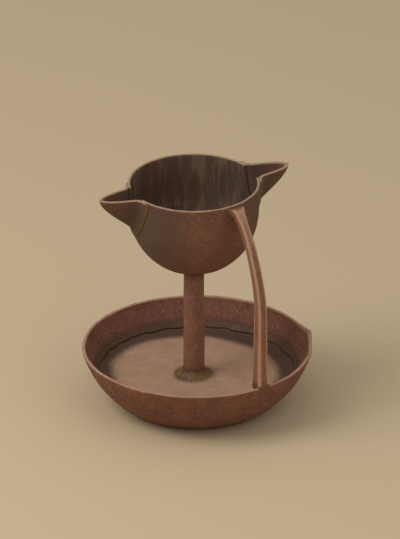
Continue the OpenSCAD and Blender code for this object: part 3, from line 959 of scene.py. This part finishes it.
@dataclass
class Stem:
    """The forged stem with its two riveted tenons."""

    font: Font
    pan: DripPan
    foot_radius: float = 7.1 * MM
    top_radius: float = 6.75 * MM
    flare: float = 0.6 * MM
    neck: float = 6 * MM
    tenon: float = 3.8 * MM
    low_head: tuple[float, float] = (6.4 * MM, 1.7 * MM)
    high_head: tuple[float, float] = (6.0 * MM, 2.2 * MM)
    steps: int = 90

    def cup(self, radius: float, off: float) -> float:
        """Returns the height of the font's round bottom at a radius, off its outer face."""
        return self.font.centre.z - math.sqrt((self.font.ball_radius + off) ** 2 - radius**2)

    def outline(self) -> Outline:
        """Returns radius and height from the lower rivet head's middle to the upper one's."""
        seat = self.pan.kick + self.pan.sheet
        shoulder = self.top_radius + self.flare
        within = self.font.low + self.font.sheet
        turns = [math.radians(90 * i / 8) for i in range(1, 9)]
        line = [Vector((self.low_head[0] * math.sin(t), self.pan.kick - self.low_head[1] * math.cos(t)))
                for t in turns]
        line += [Vector((self.tenon, self.pan.kick)), Vector((self.tenon, seat)),
                 Vector((self.foot_radius, seat))]
        neck = self.font.low - self.neck
        floor = 17 * MM
        line += [Vector((mix(self.foot_radius, self.top_radius, smooth(i / 70)), mix(floor, neck, i / 70)))
                 for i in range(71)]
        line += [Vector((self.top_radius + self.flare * 0.4, self.font.low - 0.3 * self.neck)),
                 Vector((shoulder, self.cup(shoulder, 0.0))), Vector((self.tenon, self.cup(self.tenon, 0.0))),
                 Vector((self.tenon, within))]
        line += [Vector((self.high_head[0] * math.cos(t - turns[0]), within + self.high_head[1]
                         * math.sin(t - turns[0]))) for t in turns]
        return line

    def drift(self, point: Vector) -> Vector:
        """Returns how far the hammer has left the bar out of true at a point."""
        out = Vector((point.x - self.font.shift, point.y, 0.0))
        free = smooth((point.z - 20 * MM) / (10 * MM)) * smooth((self.font.low - point.z) / (8 * MM))
        if out.length < self.tenon:
            return Vector()
        flat = 0.22 * MM * ripple(Vector((point.x, point.y, point.z * 0.5)), 9 * MM, 9.4)
        return out.normalized() * free * flat

    def wear_and_highlight(self, point: Vector) -> float:
        """Returns how much hands have rubbed the stem: most at its middle."""
        return 0.45 * smooth((point.z - 30 * MM) / (20 * MM)) * smooth((95 * MM - point.z) / (15 * MM))

    def soil_and_shade(self, point: Vector) -> float:
        """Returns how dark the stem is where it meets the floor and the bowl; the darkening under the bowl is
        painted shadow of the bowl.
        """
        foot = 1 - smooth((point.z - 20 * MM) / (9 * MM))
        # The second term is painted shadow of the bowl at the stem's top
        return max(foot, 0.8 * smooth((point.z - self.font.low + 9 * MM) / (9 * MM)))

    def dress(self) -> None:
        """Builds the stem."""
        axis = Vector((self.font.shift, 0.0, 0.0))
        angles = [TAU * i / self.steps for i in range(self.steps)]
        rings = [[polar(p.x, angle, p.y) + axis for angle in angles] for p in self.outline()]
        form = Form.loft(rings, False).move(self.drift)
        piece = form.make("riveted_stem", FORGED_BAR.material(), 0.08 * MM, 2.8 * MM,
                          {Pattern.WEAR_AND_HIGHLIGHT: self.wear_and_highlight, Pattern.SOIL_AND_SHADE: self.soil_and_shade})
        stand_for(piece, Slot.BAR, "stem")


@dataclass
class BraceHandle:
    """The bar from the pan's rim to the font: notched at its foot, spread and scarfed at its top.

    In its own plane u runs out from the stem's axis, v across and z up.
    """

    font: Font
    pan: DripPan
    bearing: float = math.radians(-76.5)
    foot_width: float = 7.8 * MM
    foot_depth: float = 10.2 * MM
    top_width: float = 5.6 * MM
    top_depth: float = 4.4 * MM
    spread_width: float = 10.4 * MM
    spread_length: float = 13 * MM
    bend_height: float = 85 * MM
    heel_drop: float = 2.2 * MM
    upset: float = 1.6 * MM
    upset_length: float = 12 * MM
    lean_out: float = 0.8 * MM
    end_drop: float = 0.6 * MM
    scarf_gap: float = 0.4 * MM
    squareness: float = 5.0
    section_steps: int = 36

    def __post_init__(self) -> None:
        """Works out the bar's line from what it joins."""
        self.end = self.font.rim_height - self.end_drop
        self.foot = self.out_to(self.pan.rim_radius, 0.0) - self.foot_depth / 2
        self.belly = self.foot + self.lean_out
        come_in = self.belly - (self.font.rim_radius + self.scarf_gap + self.top_depth / 2)
        go_up = self.end - self.bend_height
        self.arc = (come_in**2 + go_up**2) / (2 * come_in)

    def out_to(self, radius: float, v: float) -> float:
        """Returns u on a circle round the pan's axis, at side v."""
        side = -math.sin(self.bearing) * self.font.shift + v
        return math.sqrt(radius**2 - side**2) - math.cos(self.bearing) * self.font.shift

    def place(self, u: float, v: float, z: float) -> Vector:
        """Turns a point of the handle's plane into the frame."""
        cos, sin = math.cos(self.bearing), math.sin(self.bearing)
        return Vector((self.font.shift + u * cos - v * sin, u * sin + v * cos, z))

    def at(self, z: float) -> tuple[float, float]:
        """Returns how far out the bar's middle is at a height, and its lean in radians."""
        if z < self.bend_height:
            rise = max(0.0, z - self.pan.height) / (self.bend_height - self.pan.height)
            return self.foot + self.lean_out * rise, 0.0
        lean = math.asin((z - self.bend_height) / self.arc)
        return self.belly - self.arc * (1 - math.cos(lean)), lean

    def size(self, z: float) -> tuple[float, float]:
        """Returns the bar's depth and width at a height."""
        up = (z - self.pan.height) / (self.end - self.pan.height)
        low = max(0.0, 1 - max(0.0, z - self.pan.height) / self.upset_length)
        spread = max(0.0, 1 - (self.end - z) / self.spread_length) ** 2
        depth = mix(self.foot_depth - self.upset, self.top_depth, up) + self.upset * low**2
        width = mix(self.foot_width, self.top_width, up) + (self.spread_width - self.top_width) * spread
        return depth, width

    def ring(self, z: float, shrink: float = 1.0) -> Outline:
        """Returns the bar's outline at a height.

        Args:
            z: the height.
            shrink: the outline's size as a share of the bar's.

        Returns:
            The outline's points, clear of the font and of the pan's rim.
        """
        middle, lean = self.at(z)
        depth, width = self.size(z)
        ring = []
        for i in range(self.section_steps):
            turn = TAU * (i + 0.5) / self.section_steps
            power = 2 / self.squareness
            out = math.copysign(abs(math.cos(turn)) ** power, math.cos(turn)) * depth / 2 * shrink
            v = math.copysign(abs(math.sin(turn)) ** power, math.sin(turn)) * width / 2 * shrink
            u, height = middle + out * math.cos(lean), min(z + out * math.sin(lean), self.end)
            if height > self.font.centre.z - self.font.ball_radius / 2:
                u = max(u, self.font.on_wall(v, height - self.font.rim_height, self.scarf_gap).x)
            if height < self.pan.height:
                u = min(u, self.out_to(self.pan.wall(height, self.pan.sheet), v))
            ring.append(self.place(u, v, height))
        return ring

    def drift(self, point: Vector) -> Vector:
        """Returns how far the hammer has left the bar out of true at a point."""
        above_rim = smooth((point.z - self.pan.height - 4 * MM) / (8 * MM))
        free = above_rim * smooth((self.end - point.z) / (16 * MM))
        along = self.place(1.0, 0.0, 0.0) - self.place(0.0, 0.0, 0.0)
        across = self.place(0.0, 1.0, 0.0) - self.place(0.0, 0.0, 0.0)
        slow = Vector((0.0, 0.0, point.z))
        bend = along * ripple(slow, 22 * MM, 1.9) * 0.25 + across * ripple(slow, 26 * MM, 7.7) * 0.35
        return bend * MM * free

    def wear_and_highlight(self, point: Vector) -> float:
        """Returns how much the bar is rubbed, and where a highlight is painted: on its arrises, which are far
        from its middle.
        """
        height = min(point.z, self.end)
        middle, _ = self.at(height)
        depth, width = self.size(height)
        flat = Vector((point.x - self.font.shift, point.y, 0.0))
        cos, sin = math.cos(self.bearing), math.sin(self.bearing)
        u, v = flat.x * cos + flat.y * sin, flat.y * cos - flat.x * sin
        corner = abs(u - middle) / (depth / 2) + abs(v) / (width / 2)
        return 0.35 + 0.6 * smooth((corner - 1.35) / 0.35)

    def soil_and_shade(self, point: Vector) -> float:
        """Returns how dark the bar is at its two joints."""
        foot = 1 - smooth((point.z - self.pan.height) / (7 * MM))
        return max(0.7 * foot, 0.5 * smooth((point.z - self.end + 8 * MM) / (6 * MM)))

    def dress(self) -> None:
        """Builds the handle."""
        rim, heel = self.pan.height, self.pan.height - self.heel_drop
        heights = [heel + self.heel_drop * i / 4 for i in range(4)] + [rim - 0.02 * MM, rim]
        heights += [mix(rim, self.bend_height, (i / 36) ** 1.3) for i in range(1, 37)]
        heights += [mix(self.bend_height, self.end - 0.7 * MM, i / 60) for i in range(1, 61)]
        rings = [self.ring(heel, 0.8)] + [self.ring(z) for z in heights]
        rings += [self.ring(self.end - 0.25 * MM, 0.96), self.ring(self.end, 0.84)]
        form = Form.loft(rings, False).move(self.drift)
        piece = form.make("forged_brace_handle", FORGED_BAR.material(), 0.07 * MM, 2.6 * MM,
                          {Pattern.WEAR_AND_HIGHLIGHT: self.wear_and_highlight, Pattern.SOIL_AND_SHADE: self.soil_and_shade})
        stand_for(piece, Slot.BAR, "handle")


# Brazing


@dataclass
class Brazing:
    """Every run of spelter that joins two pieces."""

    pan: DripPan
    floor: PanFloor
    font: Font
    stem: Stem
    handle: BraceHandle
    finish: Finish = BRASS_SPELTER

    def finish_run(self, form: Form, name: str, node: str, lump: float, coats: dict[Pattern, Rule]) -> None:
        """Makes a run of spelter and puts it in its node's place.

        Args:
            form: the run's form.
            name: the piece's name.
            node: the CAD node that it stands for.
            lump: how far its lumps stand up.
            coats: the rules of its painted patterns.
        """
        piece = form.make(name, self.finish.material(), lump, 2.0 * MM, coats)
        stand_for(piece, Slot.SPELTER, node)

    def round_stem(self, corner: Vector, out: Vector, up: Vector, fray: float) -> Form:
        """Builds a hollow fillet round the stem.

        Args:
            corner: radius and height of the corner that it fills.
            out: the fillet's reach from the corner along the other piece.
            up: its reach from the corner along the stem.
            fray: how unevenly it has run, as a share of its reach.

        Returns:
            The fillet's form.
        """
        axis = Vector((self.font.shift, 0.0, 0.0))
        rings = []
        for i in range(120):
            angle = TAU * i / 120
            grow = 1 + fray * ripple(polar(9 * MM, angle), 5 * MM, 3.7)
            line = hollow(corner + out * grow, corner + up * grow, corner)
            bed = corner - (out.normalized() + up.normalized()) * 0.5 * MM
            rings.append([polar(p.x, angle, p.y) + axis for p in line + [bed]])
        return Form.loft(rings, True)

    def floor_ring(self) -> None:
        """Builds the ring that closes the floor."""
        edge = self.floor.edge()
        rings = []
        for i in range(360):
            angle = TAU * i / 360
            grow = 1 + 0.45 * ripple(polar(edge.x, angle), 9 * MM, 2.9)
            top = edge.y + 2.2 * MM * grow
            on_floor = edge + Vector((-3.0, -2.2)) * MM * grow
            on_wall = Vector((self.pan.wall(top, self.pan.sheet), top))
            bed = edge + Vector((0.3, -0.6)) * MM
            rings.append([polar(p.x, angle, p.y) for p in hollow(on_floor, on_wall, edge, 7) + [bed]])
        # The ring lies in the corner by the wall and is darkened almost fully: grease and painted shade
        coats = {Pattern.SOIL_AND_SHADE: lambda point: 0.9}
        self.finish_run(Form.loft(rings, True), "floor_brazing", "pan_floor_braze", 0.18 * MM, coats)

    def stem_runs(self) -> None:
        """Builds the fillets at the foot and at the top of the stem."""
        foot = Vector((self.stem.foot_radius, self.floor.top))
        form = self.round_stem(foot, Vector((5.2 * MM, 0.0)), Vector((0.0, 4.4 * MM)), 0.35)
        coats = {Pattern.SOIL_AND_SHADE: lambda point: 0.45}
        self.finish_run(form, "stem_foot_brazing", "stem_foot_braze", 0.32 * MM, coats)
        shoulder = self.stem.top_radius + self.stem.flare
        corner = Vector((shoulder, self.stem.cup(shoulder, 0.0)))
        reach = shoulder + 3.4 * MM
        out = Vector((reach, self.stem.cup(reach, 0.0))) - corner
        form = self.round_stem(corner, out, Vector((0.0, -2.8 * MM)), 0.2)
        coats = {Pattern.SOIL_AND_SHADE: lambda point: 0.75}
        self.finish_run(form, "stem_top_brazing", "stem_top_braze", 0.16 * MM, coats)

    def spout_run(self, spout: Spout) -> None:
        """Builds the bead along the edge of a spout's flange."""
        rings = []
        for i in range(91):
            slope = mix(-spout.rim_angle, spout.rim_angle, i / 90)
            lump = 1 + 0.3 * ripple(Vector((slope / 6, spout.side.value * 3.0, 0.0)), 1.0, 5.5)
            width, grow = 1.5 * MM * lump, spout.flange
            ring = [spout.mouth(slope, 0.0, grow - 0.5 * MM, -0.3 * MM),
                    spout.mouth(slope, 0.0, grow + width, -0.3 * MM),
                    spout.mouth(slope, 0.0, grow + width * 0.75, 0.7 * MM * lump),
                    spout.mouth(slope, 0.0, grow + width * 0.3, 1.35 * MM * lump),
                    spout.mouth(slope, 0.0, grow - 0.1 * MM, 1.6 * MM),
                    spout.mouth(slope, 0.0, grow - 0.5 * MM, 1.2 * MM)]
            rings.append([spout.place(p) for p in ring])
        form = Form.loft(rings, False).move(self.font.drift)
        name = spout.side.name.lower()
        coats = {Pattern.SOIL_AND_SHADE: lambda point: 0.3}
        self.finish_run(form, f"{name}_spout_brazing", f"{name}_spout_braze", 0.12 * MM, coats)

    def blob(self, centre: Vector, u: Vector, v: Vector, w: Vector) -> Form:
        """Builds a rounded lump.

        Args:
            centre: its middle.
            u: its first half axis.
            v: its second half axis.
            w: its third half axis, towards its poles.

        Returns:
            The lump's form.
        """
        rings = []
        for i in range(1, 14):
            tilt = math.pi * i / 14
            ring = []
            for j in range(24):
                turn = TAU * j / 24
                ring.append(centre + (u * math.cos(turn) + v * math.sin(turn)) * math.sin(tilt)
                            + w * math.cos(tilt))
            rings.append(ring)
        return Form.loft(rings, False)

    def handle_foot(self) -> None:
        """Builds the beads outside and inside the pan's rim."""
        bar, rim = self.handle, self.pan.height
        across = bar.place(0.0, 1.0, 0.0) - bar.place(0.0, 0.0, 0.0)
        out = bar.place(1.0, 0.0, 0.0) - bar.place(0.0, 0.0, 0.0)
        up = Vector((0.0, 0.0, 1.0))
        edge = bar.out_to(self.pan.rim_radius, 0.0)
        outside = self.blob(bar.place(edge - 0.9 * MM, 0.0, rim + 0.2 * MM), out * 1.3 * MM, up * 1.9 * MM,
                            across * 4.6 * MM)
        heel = rim - bar.heel_drop
        wall = bar.out_to(self.pan.wall(heel, self.pan.sheet), 0.0)
        inside = self.blob(bar.place(wall - 0.4 * MM, 0.0, heel - 0.4 * MM), out * 2.1 * MM, up * 2.0 * MM,
                           across * 4.4 * MM)
        coats = {Pattern.SOIL_AND_SHADE: lambda point: 0.5}
        self.finish_run(outside.join(inside), "handle_foot_brazing", "handle_foot_braze", 0.22 * MM, coats)

    def handle_top(self) -> None:
        """Builds the rippled wedge between the font and the leaning end of the bar."""
        bar = self.handle
        half = bar.spread_width / 2 + 0.3 * MM
        rings = []
        for i in range(25):
            v = mix(-half, half, i / 24)
            middle = 1 - (v / half) ** 2
            top = bar.end - 1.0 * MM
            low = bar.end - mix(3.0 * MM, 9.5 * MM, middle)
            ring = []
            for j in range(10):
                z = mix(low, top, j / 9)
                wall = self.font.on_wall(v, z - self.font.rim_height, -0.3 * MM).x
                centre, lean = bar.at(z)
                depth, _ = bar.size(z)
                under = max(centre - depth / 2 * math.cos(lean) + 0.5 * MM, wall + 0.4 * MM)
                fill = smooth(j / 5) * math.sqrt(max(0.04, middle))
                ripples = 0.25 * MM * math.sin(TAU * j / 3.3)
                ring.append(bar.place(mix(wall + 0.5 * MM, under, fill) + ripples * middle, v, z))
            walls = [bar.place(self.font.on_wall(v, z - self.font.rim_height, -0.4 * MM).x, v, z)
                     for z in (top, low)]
            rings.append(ring + walls)
        coats = {Pattern.SOIL_AND_SHADE: lambda point: 0.35}
        self.finish_run(Form.loft(rings, False), "handle_top_brazing", "handle_top_braze", 0.16 * MM, coats)


# Studio


@dataclass
class Lamp:
    """A soft square lamp that looks at the object."""

    name: str
    bearing: float
    height: float
    size: float
    power: float
    distance: float = 1.2

    def hang(self, target: Vector) -> None:
        """Places the lamp round a target."""
        light = bpy.data.lights.new(self.name, "AREA")
        light.size = self.size
        light.energy = self.power
        bearing, height = math.radians(self.bearing), math.radians(self.height)
        back = Vector((math.sin(bearing) * math.cos(height), -math.cos(bearing) * math.cos(height),
                       math.sin(height)))
        lamp = bpy.data.objects.new(self.name, light)
        lamp.location = target + back * self.distance
        lamp.rotation_euler = (-back).to_track_quat("-Z", "Y").to_euler()
        bpy.context.scene.collection.objects.link(lamp)


@dataclass
class Studio:
    """The floor, the lamps and the camera at the photograph's viewing angle."""

    bearing: float = math.radians(-24)
    elevation: float = math.radians(26.5)
    picture_height: int = 539
    pixels_per_metre: float = 1515.0
    aim: Vector = field(default_factory=lambda: Vector((1.81, -0.81, 94.74)) * MM)
    distance: float = 1.5
    floor_half: float = 4.0
    paper: str = "#c9b391"
    lamps: tuple[Lamp, ...] = (
        Lamp("key_lamp", -92, 46, 0.7, 7.0),
        Lamp("fill_lamp", 20, 30, 1.2, 1.6),
    )
    sky: float = 0.55

    def floor_material(self) -> bpy.types.Material:
        """Returns the plain paper that the lamp stands on."""
        made = bpy.data.materials.new("plain_paper")
        made.use_nodes = True
        tree = made.node_tree
        tree.nodes.clear()
        shader = add_node(tree, "ShaderNodeBsdfPrincipled",
                          {"Base Color": linear(self.paper), "Roughness": 0.95, "Specular IOR Level": 0.1})
        add_node(tree, "ShaderNodeOutputMaterial", None, {"Surface": shader.outputs[0]})
        return made

    def lay_floor(self) -> None:
        """Lays the floor."""
        mesh = bpy.data.meshes.new("paper_floor")
        half = self.floor_half
        mesh.from_pydata([(-half, -half, 0), (half, -half, 0), (half, half, 0), (-half, half, 0)], [],
                         [(0, 1, 2, 3)])
        mesh.materials.append(self.floor_material())
        floor = bpy.data.objects.new("paper_floor", mesh)
        bpy.context.scene.collection.objects.link(floor)

    def light(self) -> None:
        """Hangs the lamps and lights the sky."""
        for lamp in self.lamps:
            lamp.hang(self.aim)
        world = bpy.data.worlds.new("studio")
        world.use_nodes = True
        tree = world.node_tree
        tree.nodes.clear()
        path = add_node(tree, "ShaderNodeLightPath")
        seen = add_node(tree, "ShaderNodeMath", {"operation": "MAXIMUM"},
                        {0: path.outputs["Is Camera Ray"], 1: path.outputs["Is Glossy Ray"]})
        seen = add_node(tree, "ShaderNodeMath", {"operation": "MAXIMUM"},
                        {0: seen.outputs[0], 1: path.outputs["Is Transmission Ray"]})
        plain = add_node(tree, "ShaderNodeBackground", {"Color": (1.0, 1.0, 1.0, 1.0), "Strength": self.sky})
        paper = add_node(tree, "ShaderNodeBackground", {"Color": linear(self.paper), "Strength": 1.0})
        both = add_node(tree, "ShaderNodeMixShader", None,
                        {0: seen.outputs[0], 1: plain.outputs[0], 2: paper.outputs[0]})
        add_node(tree, "ShaderNodeOutputWorld", None, {"Surface": both.outputs[0]})
        bpy.context.scene.world = world

    def place_camera(self) -> None:
        """Places the camera, which sees the object without perspective, as a drawing does."""
        data = bpy.data.cameras.new("drawing_camera")
        data.type = "ORTHO"
        data.ortho_scale = self.picture_height / self.pixels_per_metre
        data.clip_end = 20.0
        back = Vector((math.sin(self.bearing) * math.cos(self.elevation),
                       -math.cos(self.bearing) * math.cos(self.elevation), math.sin(self.elevation)))
        camera = bpy.data.objects.new("drawing_camera", data)
        camera.location = self.aim + back * self.distance
        camera.rotation_euler = (-back).to_track_quat("-Z", "Y").to_euler()
        bpy.context.scene.collection.objects.link(camera)
        bpy.context.scene.camera = camera

    def set_up(self) -> None:
        """Makes the whole studio."""
        self.lay_floor()
        self.light()
        self.place_camera()
        bpy.context.scene.view_settings.view_transform = "Standard"


def main() -> None:
    """Builds the lamp piece by piece and sets up the studio."""
    logging.basicConfig(level=logging.INFO, format="%(name)s: %(message)s")
    Studio().set_up()
    pan, font = DripPan(), Font()
    floor = PanFloor(pan)
    stem = Stem(font, pan)
    handle = BraceHandle(font, pan)
    spouts = [Spout(font, side) for side in Side]
    mouth = spouts[0]
    bowl = FontBowl(font, mouth.half_width(1.0, mouth.sheet), mouth.keel(1.0, mouth.sheet), mouth.form)
    for part in (pan, floor, stem, bowl, *spouts, handle):
        part.dress()
    brazing = Brazing(pan, floor, font, stem, handle)
    brazing.floor_ring()
    brazing.stem_runs()
    for spout in spouts:
        brazing.spout_run(spout)
    brazing.handle_foot()
    brazing.handle_top()


if __name__ == "__main__":
    main()
